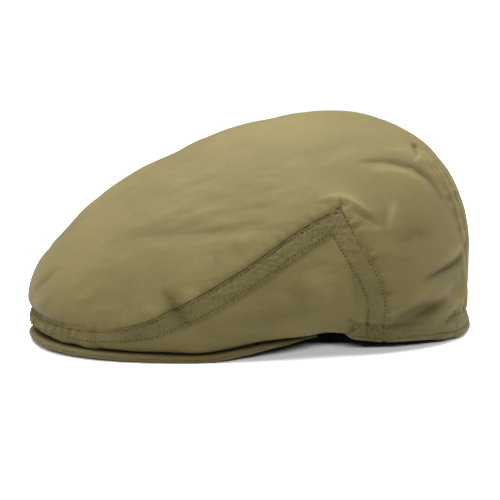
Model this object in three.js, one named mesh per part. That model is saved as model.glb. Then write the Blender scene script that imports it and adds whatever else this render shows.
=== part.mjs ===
// Cotton flat cap: puffed crown sewn down over a short stiffened brim, lined, with a head band.
// Millimetres, +Z up, front of the cap faces -Y, the wearer's left is +X, bottom of the cap at Z = 0.
// Every sewn sheet is laid out on one surface with two coordinates: phi, the direction seen from the
// crown's pole (0 front, 90 left, 180 back), and s, the way down from the pole (0) to the edge (1).
import * as THREE from "three";

// ---- overall size ----
const POLE_Y = 50;
const TOP_Z = 132;
const FRONT = 135;
const BACK = 135;
const HALF_WIDTH = 97;
const CROWN_ROUNDNESS = { front: 2.25, back: 2.1 };
const BULGE_Z = { front: 25, side: 40, back: 53 };
const TOP_REACH = { front: 0.5, side: 0.62, back: 0.73 };
const SHOULDER = { front: 0.35, side: 0.54, back: 0.49 };
const BULGE_S = 0.75;
const UNDERTURN = 1.7;

// ---- lower edge of the crown ----
const HEM_HALF_WIDTH = 85;
const HEM_ROUNDNESS = { front: 2.35, back: 2.28 };
const CROWN_FRONT_EDGE = 131;
const ARCH_Z = 13;
const ARCH_START_Y = -6;
const HEM_FLAT_Y = 126;
const SIDE_EDGE_LIFT = 3.2;
const HEM_CORNER = 78;

// ---- head opening ----
const FOREHEAD = 73;
const BAND_HEIGHT = 30;
const BAND_GAUGE = 1.2;
const BAND_INSET = 4.6;
const TAPE_INSET = 3.75;
const TAPE_HEIGHT = 10;
const TAPE_GAUGE = 0.4;

// ---- brim ----
const BRIM_HALF_WIDTH = 88;
const BRIM_FRONT = 134;
const BRIM_ROUNDNESS = 2.4;
const BRIM_ARC_RISE = 3;
const BRIM_SIDE_DROP = 0.72;
const BRIM_REAR_LIFT = 12;
const BRIM_LIFT_Y = -58;
const BRIM_LIFT_RUN = 75;
const BRIM_GAUGE = 5;
const BRIM_TIP_GAUGE = 2.3;
const BRIM_END = 62;
const BOARD_END = 50;
const BRIM_ROOT = 1.7;
const COVER = 0.9;

// ---- cloth ----
const CLOTH = 0.9;
const HEM_FOLD = 1.8;
const LINING = 0.5;
const GAP = 0.35;
const THREAD = 0.5;

// ---- seams, as [phi in degrees, s]: the V runs up the front seam to its apex and down the back seam ----
const FRONT_SEAM = [
  [0, 0.826], [18, 0.822], [25, 0.775], [32, 0.708], [45, 0.604], [59, 0.52], [76, 0.47],
];
const BACK_SEAM = [
  [76.5, 0.48], [79, 0.53], [82, 0.59], [85.5, 0.65], [88.5, 0.7], [90.6, 0.75], [91.5, 0.8], [92, 0.88], [92.8, 1],
];
const APEX = 76;
const HEM_STARTS = 92.8;
const ROW_NEAR = 1.5;
const FRONT_ROW_FAR = { tip: 8, side: 13 };
const BACK_ROW_FAR = 11.5;
const DART_FRONT = [[137.5, 0.33], [133.5, 0.4], [131, 0.52], [130.5, 0.8], [131.5, 0.93]];
const DART_REAR = [[139.5, 0.34], [138, 0.42], [136.5, 0.6], [135.5, 0.8], [136.5, 0.93]];
const HEM_ROW = 0.978;
const HEM_TOP = 0.945;

// ---- finishes ----
const finish = (color, roughness) =>
  new THREE.MeshStandardMaterial({ color, roughness, metalness: 0 });
const OUTER = finish(0x8f8457, 0.78);
const STITCH = finish(0x6f6844, 0.7);
const SATIN = finish(0x1d2027, 0.5);
const BAND = finish(0x24262b, 0.8);
const BOARD = finish(0xd9d6cc, 0.6);
const LABEL = finish(0xcfcabb, 0.75);

const DEG = Math.PI / 180;
const lerp = (a, b, t) => a + (b - a) * t;
const clamp01 = (t) => Math.min(1, Math.max(0, t));
const smooth = (t) => clamp01(t) ** 2 * (3 - 2 * clamp01(t));

/** A value that changes from front to side to back. */
function byDirection(phi, { front, side, back }) {
  const c = Math.cos(phi);
  return c > 0 ? lerp(side, front, smooth(c)) : lerp(side, back, smooth(-c));
}

/** Radius of a rounded oval seen from the pole. */
function oval(phi, reach, halfWidth, roundness) {
  const s = Math.abs(Math.sin(phi));
  const c = Math.cos(phi);
  const middle = (roundness.front + roundness.back) / 2;
  const n = lerp(middle, c > 0 ? roundness.front : roundness.back, smooth(2 * Math.abs(c)));
  const along = c > 0 ? reach.front : reach.back;
  return ((s / halfWidth) ** n + (Math.abs(c) / along) ** n) ** (-1 / n);
}

const planX = (phi, r) => r * Math.sin(phi);
const planY = (phi, r) => POLE_Y - r * Math.cos(phi);
const at = (phi, r, z) => new THREE.Vector3(planX(phi, r), planY(phi, r), z);

/** Height of the brim's underside: an arc from side to side that lifts toward the temples. */
function brimUnder(x, y) {
  const arc = BRIM_ARC_RISE * (1 - (x / BRIM_HALF_WIDTH) ** 2) - BRIM_SIDE_DROP;
  return arc + BRIM_REAR_LIFT * smooth((y - BRIM_LIFT_Y) / BRIM_LIFT_RUN);
}

/** Thickness of the brim, which thins where its board stops short of the temples. */
function brimGauge(phi) {
  return lerp(BRIM_GAUGE, BRIM_TIP_GAUGE, smooth((Math.abs(phi) / DEG - 44) / 18));
}

/** Height of the rear edge: arched over the ears and flat at the back. */
function rearEdge(y) {
  return ARCH_Z * (1 - smooth((y - ARCH_START_Y) / (HEM_FLAT_Y - ARCH_START_Y)));
}

/** Lower edge of the crown: on the brim in front, and the hem behind. */
function crownEdge(phi) {
  const reach = { front: CROWN_FRONT_EDGE + POLE_Y, back: BACK - POLE_Y };
  const r = oval(phi, reach, HEM_HALF_WIDTH, HEM_ROUNDNESS);
  const [x, y] = [planX(phi, r), planY(phi, r)];
  const angle = Math.abs(phi) / DEG;
  const onBrim = brimUnder(x, y) + brimGauge(phi) + GAP;
  const lift = SIDE_EDGE_LIFT * smooth((angle - 60) / 12) * (1 - smooth((angle - HEM_CORNER + 2) / 2));
  const z = lerp(onBrim, rearEdge(y) + lift, smooth((angle - 54) / 10));
  return { r, z: angle > BRIM_END + 1 ? z : Math.max(z, onBrim) };
}

/** The head opening's ring, from the forehead round inside the hem. */
function headRing(phi) {
  const reach = { front: FOREHEAD + POLE_Y, back: BACK - POLE_Y };
  const r = oval(phi, reach, HEM_HALF_WIDTH, HEM_ROUNDNESS);
  const [x, y] = [planX(phi, r), planY(phi, r)];
  return { r, z: lerp(brimUnder(x, y) + 1.5, rearEdge(y) + 2, smooth((y + 45) / 50)) };
}

const bezier = (a, b, c, d, t) =>
  (1 - t) ** 3 * a + 3 * t * (1 - t) ** 2 * b + 3 * t * t * (1 - t) * c + t ** 3 * d;

/** A dome's profile: from the pole out to its widest ring, then turned under to its edge. */
function dome(phi, s, { top, widest, bulgeZ, edge }) {
  if (s <= BULGE_S) {
    const t = s / BULGE_S;
    const reach = byDirection(phi, TOP_REACH) * widest;
    const shoulder = bulgeZ + byDirection(phi, SHOULDER) * (top - bulgeZ);
    return at(phi, bezier(0, reach, widest, widest, t), bezier(top, top, shoulder, bulgeZ, t));
  }
  const q = (s - BULGE_S) / (1 - BULGE_S);
  const inward = (1 - q ** UNDERTURN) ** (1 / UNDERTURN);
  return at(phi, edge.r + (widest - edge.r) * inward, lerp(bulgeZ, edge.z, q));
}

/** The crown's outer surface before its seams draw it in. */
function crownForm(phi, s) {
  const reach = { front: FRONT + POLE_Y, back: BACK - POLE_Y };
  const widest = oval(phi, reach, HALF_WIDTH, CROWN_ROUNDNESS);
  return dome(phi, s, { top: TOP_Z, widest, bulgeZ: byDirection(phi, BULGE_Z), edge: crownEdge(phi) });
}

/** Outward unit normal of a surface given as a function of phi and s. */
function normalOf(surface, phi, s) {
  const low = Math.min(Math.max(s, 0.012), 0.97);
  const along = surface(phi + 0.004, low).sub(surface(phi - 0.004, low));
  const down = surface(phi, low + 0.004).sub(surface(phi, low - 0.004));
  const n = down.cross(along).normalize();
  const outward = surface(phi, low).sub(new THREE.Vector3(0, 20, 40));
  return n.dot(outward) < 0 ? n.negate() : n;
}

/** Straight-line reading of a table of [phi, s] pairs. */
function readTable(table, angle) {
  const i = table.findIndex(([a]) => a >= angle);
  if (i === 0) return table[0][1];
  if (i < 0) return table.at(-1)[1];
  const [[a0, s0], [a1, s1]] = [table[i - 1], table[i]];
  return lerp(s0, s1, (angle - a0) / (a1 - a0));
}

const seamEdge = (angle) => readTable([...FRONT_SEAM, ...BACK_SEAM], Math.abs(angle));

/** Millimetres of cloth per unit of s, and per degree of phi. */
function clothScale(phi, s) {
  const down = crownForm(phi, s + 0.004).distanceTo(crownForm(phi, s - 0.004)) / 0.008;
  const round = crownForm(phi + 0.004, s).distanceTo(crownForm(phi - 0.004, s)) / (0.008 / DEG);
  return { down, round };
}

/** The change of s that keeps a distance from the seam, whichever way the seam runs. */
function seamShift(phi, millimetres) {
  const angle = Math.abs(phi) / DEG;
  const s = seamEdge(angle);
  const scale = clothScale(phi, Math.min(s, 0.97));
  const slope = ((seamEdge(angle + 0.4) - seamEdge(angle - 0.4)) / 0.8) * (scale.down / scale.round);
  return (millimetres * Math.hypot(1, slope)) / scale.down;
}

/** How far the front seam draws the cloth in, deepest over the brim. */
function ditch(phi, s) {
  const angle = Math.abs(phi) / DEG;
  const depth = lerp(3.2, 0.7, smooth(angle / 42)) * (1 - smooth((angle - 68) / 8));
  const away = (s - seamEdge(angle)) / seamShift(phi, 1);
  return depth * Math.exp(-((away / 4) ** 2));
}

/** The crown's outer surface. */
function crownSurface(phi, s) {
  const p = crownForm(phi, s);
  return Math.abs(phi) / DEG > APEX ? p : p.addScaledVector(normalOf(crownForm, phi, s), -ditch(phi, s));
}

/** The lining's outer surface: it closes in at the forehead instead of running out over the brim. */
function liningSurface(phi, s) {
  const reach = { front: 150, back: BACK - POLE_Y - 3.4 };
  const temple = Math.cos(phi) > 0 ? Math.sin(2 * phi) ** 2 : 0;
  const widest = oval(phi, reach, HALF_WIDTH - 3.4, CROWN_ROUNDNESS) * (1 - 0.06 * temple);
  const ring = headRing(phi);
  const overBrim = brimUnder(planX(phi, ring.r), planY(phi, ring.r)) + brimGauge(phi) + 0.6;
  const z = Math.cos(phi) > 0.4 ? Math.max(ring.z + 0.4, overBrim) : ring.z + 0.4;
  const bulgeZ = byDirection(phi, { front: 52, side: 42, back: 53 });
  return dome(phi, s, { top: TOP_Z - 3.2, widest, bulgeZ, edge: { r: ring.r - 2.3, z } });
}

const lifted = (surface, phi, s, height) =>
  surface(phi, s).addScaledVector(normalOf(surface, phi, s), height);

/** One closed mesh from points and faces, turned to face out. */
function closedMesh(name, points, faces, material) {
  const signedVolume = faces.reduce((sum, [a, b, c]) => {
    return sum + points[a].dot(new THREE.Vector3().crossVectors(points[b], points[c]));
  }, 0);
  const index = signedVolume > 0 ? faces.flat() : faces.flatMap(([a, b, c]) => [a, c, b]);
  const geometry = new THREE.BufferGeometry().setFromPoints(points);
  geometry.setIndex(index);
  geometry.computeVertexNormals();
  const mesh = new THREE.Mesh(geometry, material.clone());
  mesh.name = name;
  return mesh;
}

/** A strip of quads between two equal runs of point numbers. */
function strip(first, second, faces) {
  for (let i = 0; i + 1 < first.length; i += 1) {
    faces.push([first[i], second[i], second[i + 1]]);
    faces.push([first[i], second[i + 1], first[i + 1]]);
  }
}

/** A body swept through closed loops of points, capped at both ends or joined into a ring. */
function sweep(name, loops, material, isRing = false) {
  const size = loops[0].length;
  const points = loops.flat();
  const loopIndex = (k) => [...Array(size + 1).keys()].map((i) => k * size + (i % size));
  const faces = [];
  for (let k = 0; k + 1 < loops.length; k += 1) strip(loopIndex(k), loopIndex(k + 1), faces);
  if (isRing) {
    strip(loopIndex(loops.length - 1), loopIndex(0), faces);
    return closedMesh(name, points, faces, material);
  }
  const last = (loops.length - 1) * size;
  for (let i = 0; i < size - 2 - i; i += 1) {
    const [a, b, c, d] = [i, i + 1, size - 2 - i, size - 1 - i];
    const cover = b < c ? [[a, b, c], [a, c, d]] : [[a, c, d]];
    cover.forEach(([p, q, r]) => faces.push([p, q, r], [last + p, last + r, last + q]));
  }
  return closedMesh(name, points, faces, material);
}

/** A sheet: one loop per column, down the outer face and back up the inner face. */
function sheet(name, columns, rows, outerAt, innerAt, material, isRing = false) {
  const loops = columns.map((phi) => [
    ...rows.map((u) => outerAt(phi, u)),
    ...[...rows].reverse().map((u) => innerAt(phi, u)),
  ]);
  return sweep(name, loops, material, isRing);
}

/** A sheet that closes over the pole, made of two skins joined along the lower edge. */
function cap(name, columns, waysDown, outerAt, innerAt, material) {
  const points = [outerAt(0, 0), innerAt(0, 0)];
  const faces = [];
  const column = (pointAt, phi) => waysDown(phi).map((s, i, all) => {
    return s === all[i - 1] ? points.length - 1 : points.push(pointAt(phi, s)) - 1;
  });
  const skin = (pointAt) => columns.map((phi) => column(pointAt, phi));
  const [outer, inner] = [skin(outerAt), skin(innerAt)];
  columns.forEach((_, j) => {
    const k = (j + 1) % columns.length;
    faces.push([0, outer[k][0], outer[j][0]]);
    faces.push([1, inner[j][0], inner[k][0]]);
    strip(outer[j], outer[k], faces);
    strip(inner[k], inner[j], faces);
    strip([inner[j].at(-1), inner[k].at(-1)], [outer[j].at(-1), outer[k].at(-1)], faces);
  });
  const solidFaces = faces.filter(([a, b, c]) => a !== b && b !== c && c !== a);
  return closedMesh(name, points, solidFaces, material);
}

const mirrored = (half) => [...half.slice(1, -1).map((a) => -a).reverse(), ...half].map((a) => a * DEG);

// ---- outer shell ----
const SHELL_HALF = [
  0, 6, 12, 18, 25, 32, 38, 45, 52, 59, 66, 71, 76, 77.5, 79, 82, 84, 86, 88.5, 91, 91.5,
  92, 92.8, 98, 105, 112, 119, 126, 133, 140, 147, 154, 162, 171, 180,
];
const CROWN_LEVELS = [0.1, 0.2, 0.3, 0.385, 0.46, 0.53, 0.6, 0.67, 0.74, 0.81, 0.87, 0.935, HEM_TOP, 0.965];
const SIDE_ROWS = [0, 0.12, 0.28, 0.46, 0.64, 0.82, 1];

function crownPanel() {
  const isRear = (phi) => Math.abs(phi) / DEG >= HEM_STARTS;
  const edge = (phi) => (isRear(phi) ? 1 : seamEdge(phi / DEG) - seamShift(phi, GAP / 2));
  const waysDown = (phi) => {
    const levels = CROWN_LEVELS.map((s) => Math.min(s, edge(phi) - 0.03));
    return [...levels, edge(phi) - 0.012, edge(phi)];
  };
  const innerAt = (phi, s) => {
    const gauge = isRear(phi) && s >= HEM_TOP ? HEM_FOLD : CLOTH;
    return crownSurface(phi, s).addScaledVector(normalOf(crownForm, phi, s), -gauge);
  };
  return cap("crown_panel", mirrored(SHELL_HALF), waysDown, crownSurface, innerAt, OUTER);
}

function sidePanel(name, side) {
  const columns = SHELL_HALF.filter((a) => a < 92);
  columns[0] = 0.08;
  const edge = (phi) => Math.min(seamEdge(phi / DEG) + seamShift(phi, GAP / 2), 0.97);
  const way = (phi, u) => lerp(edge(phi), 1, u);
  const outerAt = (phi, u) => crownSurface(phi, way(phi, u));
  const innerAt = (phi, u) =>
    outerAt(phi, u).addScaledVector(normalOf(crownForm, phi, way(phi, u)), -CLOTH);
  return sheet(name, columns.map((a) => side * a * DEG), SIDE_ROWS, outerAt, innerAt, OUTER);
}

// ---- brim ----
const BRIM_COLUMNS = [...Array(29).keys()].map((i) => lerp(-BRIM_END, BRIM_END, i / 28) * DEG);
const BOARD_COLUMNS = [...Array(23).keys()].map((i) => lerp(-BOARD_END, BOARD_END, i / 22) * DEG);

/** Radius of the brim's rim. Behind the pole it is only the rest of its oval. */
function brimRim(phi) {
  const reach = { front: BRIM_FRONT + POLE_Y, back: 100 };
  return oval(phi, reach, BRIM_HALF_WIDTH, { front: BRIM_ROUNDNESS, back: 2.2 });
}

/** A point of the brim: inset from its rim, and a height given as a share of the local thickness. */
function brimPoint(phi, inset, share) {
  const r = brimRim(phi) - inset;
  return at(phi, r, brimUnder(planX(phi, r), planY(phi, r)) + share * brimGauge(phi));
}

const brimDepth = (phi) => brimRim(phi) - headRing(phi).r + BRIM_ROOT;

/** Insets of the flat part of a brim layer, from its root to a given inset. */
const fromRoot = (phi, root, last) =>
  [0, 0.25, 0.5, 0.75, 1].map((t) => lerp(brimDepth(phi) - root, last, t));

function brimCover(name, isTop) {
  const share = (h) => (isTop ? 1 - h : h);
  const loop = (phi) => {
    const layer = COVER / brimGauge(phi);
    const seam = 0.5 - 0.15 / brimGauge(phi);
    const outerFace = fromRoot(phi, 0, 2.6).map((d) => [d, 0]);
    const innerFace = fromRoot(phi, 0, 1.9).map((d) => [d, layer]).reverse();
    const outerLip = [[1, 0.07], [0.25, 0.24], [0, seam]];
    const innerLip = [[0.9, seam], [1.05, Math.min(seam - 0.04, layer + 0.1)]];
    return [...outerFace, ...outerLip, ...innerLip, ...innerFace]
      .map(([d, h]) => brimPoint(phi, d, share(h)));
  };
  return sweep(name, BRIM_COLUMNS.map(loop), OUTER);
}

function brimBoard() {
  const loop = (phi) => {
    const low = 1.25 / brimGauge(phi);
    const high = 1 - low;
    const under = fromRoot(phi, 0.6, 2.2).map((d) => [d, low]);
    const over = fromRoot(phi, 0.6, 2.2).map((d) => [d, high]).reverse();
    return [...under, [1.5, lerp(low, high, 0.3)], [1.5, lerp(low, high, 0.7)], ...over]
      .map(([d, h]) => brimPoint(phi, d, h));
  };
  return sweep("brim_board", BOARD_COLUMNS.map(loop), BOARD);
}

// ---- inside ----
const ringColumns = (count) => [...Array(count).keys()].map((i) => (i / count) * 360 * DEG);
const LINING_SPLIT = 0.52;

function liningCrown() {
  const waysDown = () => [0.25, 0.5, 0.75, 1].map((u) => u * LINING_SPLIT);
  const innerAt = (phi, s) => lifted(liningSurface, phi, s, -LINING);
  return cap("lining_crown", ringColumns(36), waysDown, liningSurface, innerAt, SATIN);
}

function liningSide(name, side) {
  const columns = [...Array(27).keys()].map((i) => side * lerp(0.2, 179.8, i / 26) * DEG);
  const way = (u) => lerp(LINING_SPLIT + 0.0025, 0.995, u);
  const outerAt = (phi, u) => liningSurface(phi, way(u));
  const innerAt = (phi, u) => lifted(liningSurface, phi, way(u), -LINING);
  return sheet(name, columns, [0, 0.25, 0.5, 0.7, 0.86, 1], outerAt, innerAt, SATIN);
}

const BAND_FACE = BAND_INSET + BAND_GAUGE;

/** An upright ring inside the head opening. */
function headStrip(name, inset, gauge, height, material) {
  const rows = height > 20 ? [0, 0.5, 1] : [0, 1];
  const wall = (depth) => (phi, u) => {
    const ring = headRing(phi);
    return at(phi, ring.r - depth, ring.z + 0.4 + u * height);
  };
  return sheet(name, ringColumns(52), rows, wall(inset), wall(inset + gauge), material, true);
}

/** A small woven label lying on the inside of the head band at the back. */
function sizeLabel() {
  const columns = [-11, -5.5, 0, 5.5, 11].map((a) => (180 + a) * DEG);
  const wall = (depth) => (phi, u) => {
    const ring = headRing(phi);
    return at(phi, ring.r - depth, ring.z + lerp(9, 24, u));
  };
  return sheet("size_label", columns, [0, 1], wall(BAND_FACE + 0.3), wall(BAND_FACE + 0.8), LABEL);
}

// ---- stitching ----
const curveThrough = (row) =>
  new THREE.CatmullRomCurve3(row.map(([a, s]) => new THREE.Vector3(a, s * 100, 0)), false, "centripetal");

/** A row of [phi, s] points beside a seam, found by walking square to it over the cloth, inside the V. */
function beside(seam, distanceAt, first, last) {
  const curve = curveThrough(seam);
  const steps = 10;
  return [...Array(13).keys()].map((i) => {
    const t = lerp(first, last, i / 12);
    const [here, ahead] = [curve.getPoint(t), curve.getTangent(t)];
    const start = clothScale(here.x * DEG, Math.min(here.y / 100, 0.96));
    const [along, down] = [ahead.x * start.round, (ahead.y / 100) * start.down];
    const step = distanceAt(here.x) / Math.hypot(along, down) / steps;
    let [phi, s] = [here.x, here.y / 100];
    for (let k = 0; k < steps; k += 1) {
      const scale = clothScale(phi * DEG, Math.min(s, 0.96));
      phi -= (step * down) / scale.round;
      s += (step * along) / scale.down;
    }
    return [phi, Math.min(s, 0.985)];
  });
}

/** A square thread laid on the crown's cloth through a row of [phi, s] points. */
function threadRow(name, row, steps, side = 1) {
  const curve = curveThrough(row);
  const loops = [...Array(steps + 1).keys()].map((i) => {
    const [here, ahead] = [curve.getPoint(i / steps), curve.getTangent(i / steps)];
    const [phi, s] = [side * here.x * DEG, here.y / 100];
    const up = normalOf(crownForm, phi, s);
    const next = crownSurface(phi + side * ahead.x * 0.002 * DEG, s + ahead.y * 0.00002);
    const forward = next.sub(crownSurface(phi, s)).normalize();
    return squareAt(crownSurface(phi, s), up, new THREE.Vector3().crossVectors(forward, up).normalize());
  });
  return sweep(name, loops, STITCH);
}

function squareAt(base, up, across) {
  const corners = [[-1, 0], [1, 0], [1, 1], [-1, 1]];
  return corners.map(([a, h]) => base.clone()
    .addScaledVector(up, GAP + h * THREAD)
    .addScaledVector(across, (a * THREAD) / 2));
}

const backAndForth = (row) => [...row.slice(1).map(([a, s]) => [-a, s]).reverse(), ...row];

function bandThread() {
  const loops = ringColumns(52).map((phi) => {
    const ring = headRing(phi);
    const onBand = at(phi, ring.r - BAND_FACE, ring.z + 2.6);
    const up = at(phi, ring.r - BAND_FACE - 1, ring.z + 2.6).sub(onBand).normalize();
    return squareAt(onBand, up, new THREE.Vector3(0, 0, 1));
  });
  return sweep("head_band_thread", loops, STITCH, true);
}

const frontFar = (angle) => lerp(FRONT_ROW_FAR.tip, FRONT_ROW_FAR.side, smooth((angle - 12) / 30));
const frontUpper = beside(FRONT_SEAM, () => ROW_NEAR, 0, 0.985);
const frontLower = beside(FRONT_SEAM, frontFar, 0, 0.9);
const backRear = beside(BACK_SEAM, () => ROW_NEAR, 0.04, 0.9);
const backFront = beside(BACK_SEAM, () => BACK_ROW_FAR, 0.2, 0.9);
const hemRow = [80.5, 100, 120, 140, 160, 180, 200, 220, 240, 260, 279.5].map((a) => [a, HEM_ROW]);

const flatCap = new THREE.Group();
flatCap.name = "flat_cap";
flatCap.add(
  crownPanel(),
  brimCover("brim_top_cover", true),
  brimCover("brim_under_cover", false),
  brimBoard(),
  liningCrown(),
  headStrip("head_band", BAND_INSET, BAND_GAUGE, BAND_HEIGHT, BAND),
  headStrip("stay_tape", TAPE_INSET, TAPE_GAUGE, TAPE_HEIGHT, LABEL),
  sizeLabel(),
  threadRow("front_seam_thread_upper", backAndForth(frontUpper), 64),
  threadRow("front_seam_thread_lower", backAndForth(frontLower), 60),
  threadRow("hem_thread", hemRow, 60),
  bandThread(),
);
for (const [side, word] of [[1, "left"], [-1, "right"]]) {
  flatCap.add(
    sidePanel(`side_panel_${word}`, side),
    liningSide(`lining_side_${word}`, side),
    threadRow(`back_seam_thread_rear_${word}`, backRear, 22, side),
    threadRow(`back_seam_thread_front_${word}`, backFront, 18, side),
    threadRow(`dart_thread_front_${word}`, DART_FRONT, 22, side),
    threadRow(`dart_thread_rear_${word}`, DART_REAR, 22, side),
  );
}

export default flatCap;
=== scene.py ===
"""Flat cap in olive cotton: sewn cloth, stitches, lining and a plain studio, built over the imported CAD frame.

Shapes are worked out in millimetres on one surface with two coordinates, as the sewn sheets are laid out:
phi, the direction seen from the crown's pole (0 front, 90 the wearer's left, 180 back), and s, the way down
from the pole (0) to the lower edge (1). They are turned into metres when a mesh is made.
"""

import math

import bmesh
import bpy
import numpy as np
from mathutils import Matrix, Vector


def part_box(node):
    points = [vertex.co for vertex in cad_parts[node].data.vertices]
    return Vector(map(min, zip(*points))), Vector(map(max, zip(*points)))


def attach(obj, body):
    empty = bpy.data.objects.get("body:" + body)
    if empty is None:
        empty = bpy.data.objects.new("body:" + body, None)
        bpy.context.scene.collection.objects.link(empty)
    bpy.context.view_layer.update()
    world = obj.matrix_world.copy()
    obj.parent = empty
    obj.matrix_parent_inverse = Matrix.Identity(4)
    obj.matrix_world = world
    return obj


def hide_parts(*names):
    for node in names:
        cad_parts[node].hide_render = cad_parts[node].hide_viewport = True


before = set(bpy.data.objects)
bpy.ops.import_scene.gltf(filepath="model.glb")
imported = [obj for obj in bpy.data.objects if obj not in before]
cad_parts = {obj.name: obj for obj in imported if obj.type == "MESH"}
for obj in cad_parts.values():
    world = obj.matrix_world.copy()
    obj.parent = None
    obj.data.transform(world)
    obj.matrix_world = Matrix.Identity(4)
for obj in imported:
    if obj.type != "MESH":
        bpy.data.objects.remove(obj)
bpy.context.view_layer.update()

# -------- sizes in millimetres, shares and exponents
MM = 0.001


def node_box(name):
    """Lowest and highest corner of a CAD node, in millimetres."""
    return [np.array(corner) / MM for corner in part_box(name)]


crown_low, crown_high = node_box("crown_panel")
brim_low = node_box("brim_top_cover")[0]

HALF_WIDTH = crown_high[0]
FRONT = -crown_low[1]
BACK = crown_high[1]
TOP_Z = crown_high[2]
POLE_Y = 50.0
CROWN_ROUNDNESS = (2.25, 2.1)
# for front, side and back: height of the widest ring, reach of the flat top, height of the shoulder
BULGE_Z = (25.0, 40.0, 53.0)
TOP_REACH = (0.5, 0.62, 0.73)
SHOULDER = (0.35, 0.54, 0.49)
BULGE_S = 0.75
UNDERTURN = 1.7
HEART = np.array([0, 20, 40])

HEM_HALF_WIDTH = 0.876 * HALF_WIDTH
HEM_ROUNDNESS = (2.35, 2.28)
CROWN_FRONT_EDGE = FRONT - 4.5
ARCH_Z = 13.0
ARCH_START_Y = -6.0
HEM_FLAT_Y = 126.0
SIDE_EDGE_LIFT = 3.2
HEM_CORNER = 78.0
HEM_SIDE_LIFT = 2.0

FOREHEAD = 73.0
BAND_INSET = 4.6
BAND_GAUGE = 1.2
BAND_HEIGHT = 30.0
TAPE_INSET = 3.75
TAPE_GAUGE = 0.4
TAPE_HEIGHT = 10.0
LINING_FRONT = 100.0
LINING_SIDE_GAP = 3.4
LINING_TOP_GAP = 3.2
LINING_BULGE_Z = (52, 42, 53)
LINING_GAUGE = 0.5
LINING_SPLIT = 0.52
RING_LIFT = 0.4
RING_PITCH = 1.6
LABEL_TURN = (169, 191)
LABEL_HEIGHTS = (9, 24)

BRIM_FRONT = -brim_low[1]
BRIM_HALF_WIDTH = 0.907 * HALF_WIDTH
BRIM_ROUNDNESS = (2.4, 2.2)
BRIM_ARC_RISE = 3.0
BRIM_SIDE_DROP = 0.72
BRIM_REAR_LIFT = 12.0
BRIM_LIFT_Y = -58.0
BRIM_LIFT_RUN = 75.0
BRIM_GAUGE = 4.4
BRIM_TIP_GAUGE = 1.5
BRIM_END = 67.0
LIP_RADIUS = 2.4
LIP_INNER_RADIUS = 1.4
LIP_CURL = 0.35
TIP_RETREAT = 5.0
ROOT_FLANGE = 0.5
CLOTH = 0.9

# seams and stitch rows, as (phi in degrees, s)
FRONT_SEAM = [(0, 0.826), (18, 0.822), (25, 0.775), (32, 0.708), (45, 0.604), (59, 0.52), (76, 0.47)]
BACK_SEAM = [
    (76, 0.47), (79, 0.53), (82, 0.59), (85.5, 0.65), (88.5, 0.7),
    (90.6, 0.75), (91.5, 0.8), (92, 0.88), (92.8, 1),
]
DART_FRONT = [(137.5, 0.33), (133.5, 0.4), (131, 0.52), (130.5, 0.8), (131.5, 0.93)]
DART_REAR = [(139.5, 0.34), (138, 0.42), (136.5, 0.6), (135.5, 0.8), (136.5, 0.93)]
APEX = 76.0
FRONT_ROW_NEAR = 2.4
BACK_ROW_NEAR = 1.5
FRONT_ROW_FAR = (8.0, 13.0)
BACK_ROW_FAR = 11.5
HEM_ROW = 0.978
HEM_TOP = 0.957
HEM_DEPTH = 10.5
STITCH_PITCH = 2.4
STITCH_LENGTH = 1.2
STITCH_RADIUS = 0.38
STITCH_RINGS = 5
STITCH_SIDES = 6
EDGE_GAP = 0.75
EDGE_SETBACK = 2.0
TUCK = 4.5


# -------- small maths
def mix(a, b, t):
    return a + (b - a) * t


def ease(t):
    t = np.clip(t, 0, 1)
    return t * t * (3 - 2 * t)


def fade(t):
    return 1 - ease(t)


def bell(x):
    return np.exp(-(x ** 2))


def by_direction(phi, front, side, back):
    """A value that changes from front to side to back."""
    c = np.cos(phi)
    return np.where(c > 0, mix(side, front, ease(c)), mix(side, back, ease(-c)))


def oval(phi, front, back, half_width, roundness):
    """Radius of a rounded oval seen from the pole."""
    s = np.abs(np.sin(phi))
    c = np.cos(phi)
    middle = sum(roundness) / 2
    ahead = mix(middle, roundness[0], ease(2 * c))
    behind = mix(middle, roundness[1], ease(-2 * c))
    n = np.where(c > 0, ahead, behind)
    reach = np.where(c > 0, front, back)
    return ((s / half_width) ** n + (np.abs(c) / reach) ** n) ** (-1 / n)


def plan(phi, r):
    return r * np.sin(phi), POLE_Y - r * np.cos(phi)


def turn_of(phi):
    """How far round from the front a direction is, from 0 to 180 degrees on either side."""
    return np.degrees(np.arccos(np.clip(np.cos(phi), -1, 1)))


def at(phi, r, z):
    x, y = plan(phi, r)
    return np.stack(np.broadcast_arrays(x, y, z), -1)


def unit(v):
    return v / np.maximum(np.linalg.norm(v, axis=-1, keepdims=True), 1e-9)


def on_curve(curve, way, stops):
    """(phi, s) at stops along a curve whose points have the given way along it."""
    return np.stack([np.interp(stops, way, curve[:, 0]), np.interp(stops, way, curve[:, 1])], -1)


def curve_through(points, count):
    """A smooth row of (phi, s) points, evenly spaced along a Catmull-Rom curve."""
    p = np.array(points, float)
    p = np.vstack([2 * p[0] - p[1], p, 2 * p[-1] - p[-2]])
    u = np.linspace(0, len(points) - 1 - 1e-6, 60 * len(points))
    i = u.astype(int)
    t = (u - i)[:, None]
    a, b, c, d = p[i], p[i + 1], p[i + 2], p[i + 3]
    square = 2 * a - 5 * b + 4 * c - d
    cube = 3 * b - a - 3 * c + d
    fine = 0.5 * (2 * b + (c - a) * t + square * t ** 2 + cube * t ** 3)
    steps = np.hypot(np.diff(fine[:, 0]), 100 * np.diff(fine[:, 1]))
    way = np.concatenate([[0], np.cumsum(steps)])
    return on_curve(fine, way, np.linspace(0, way[-1], count))


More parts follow.
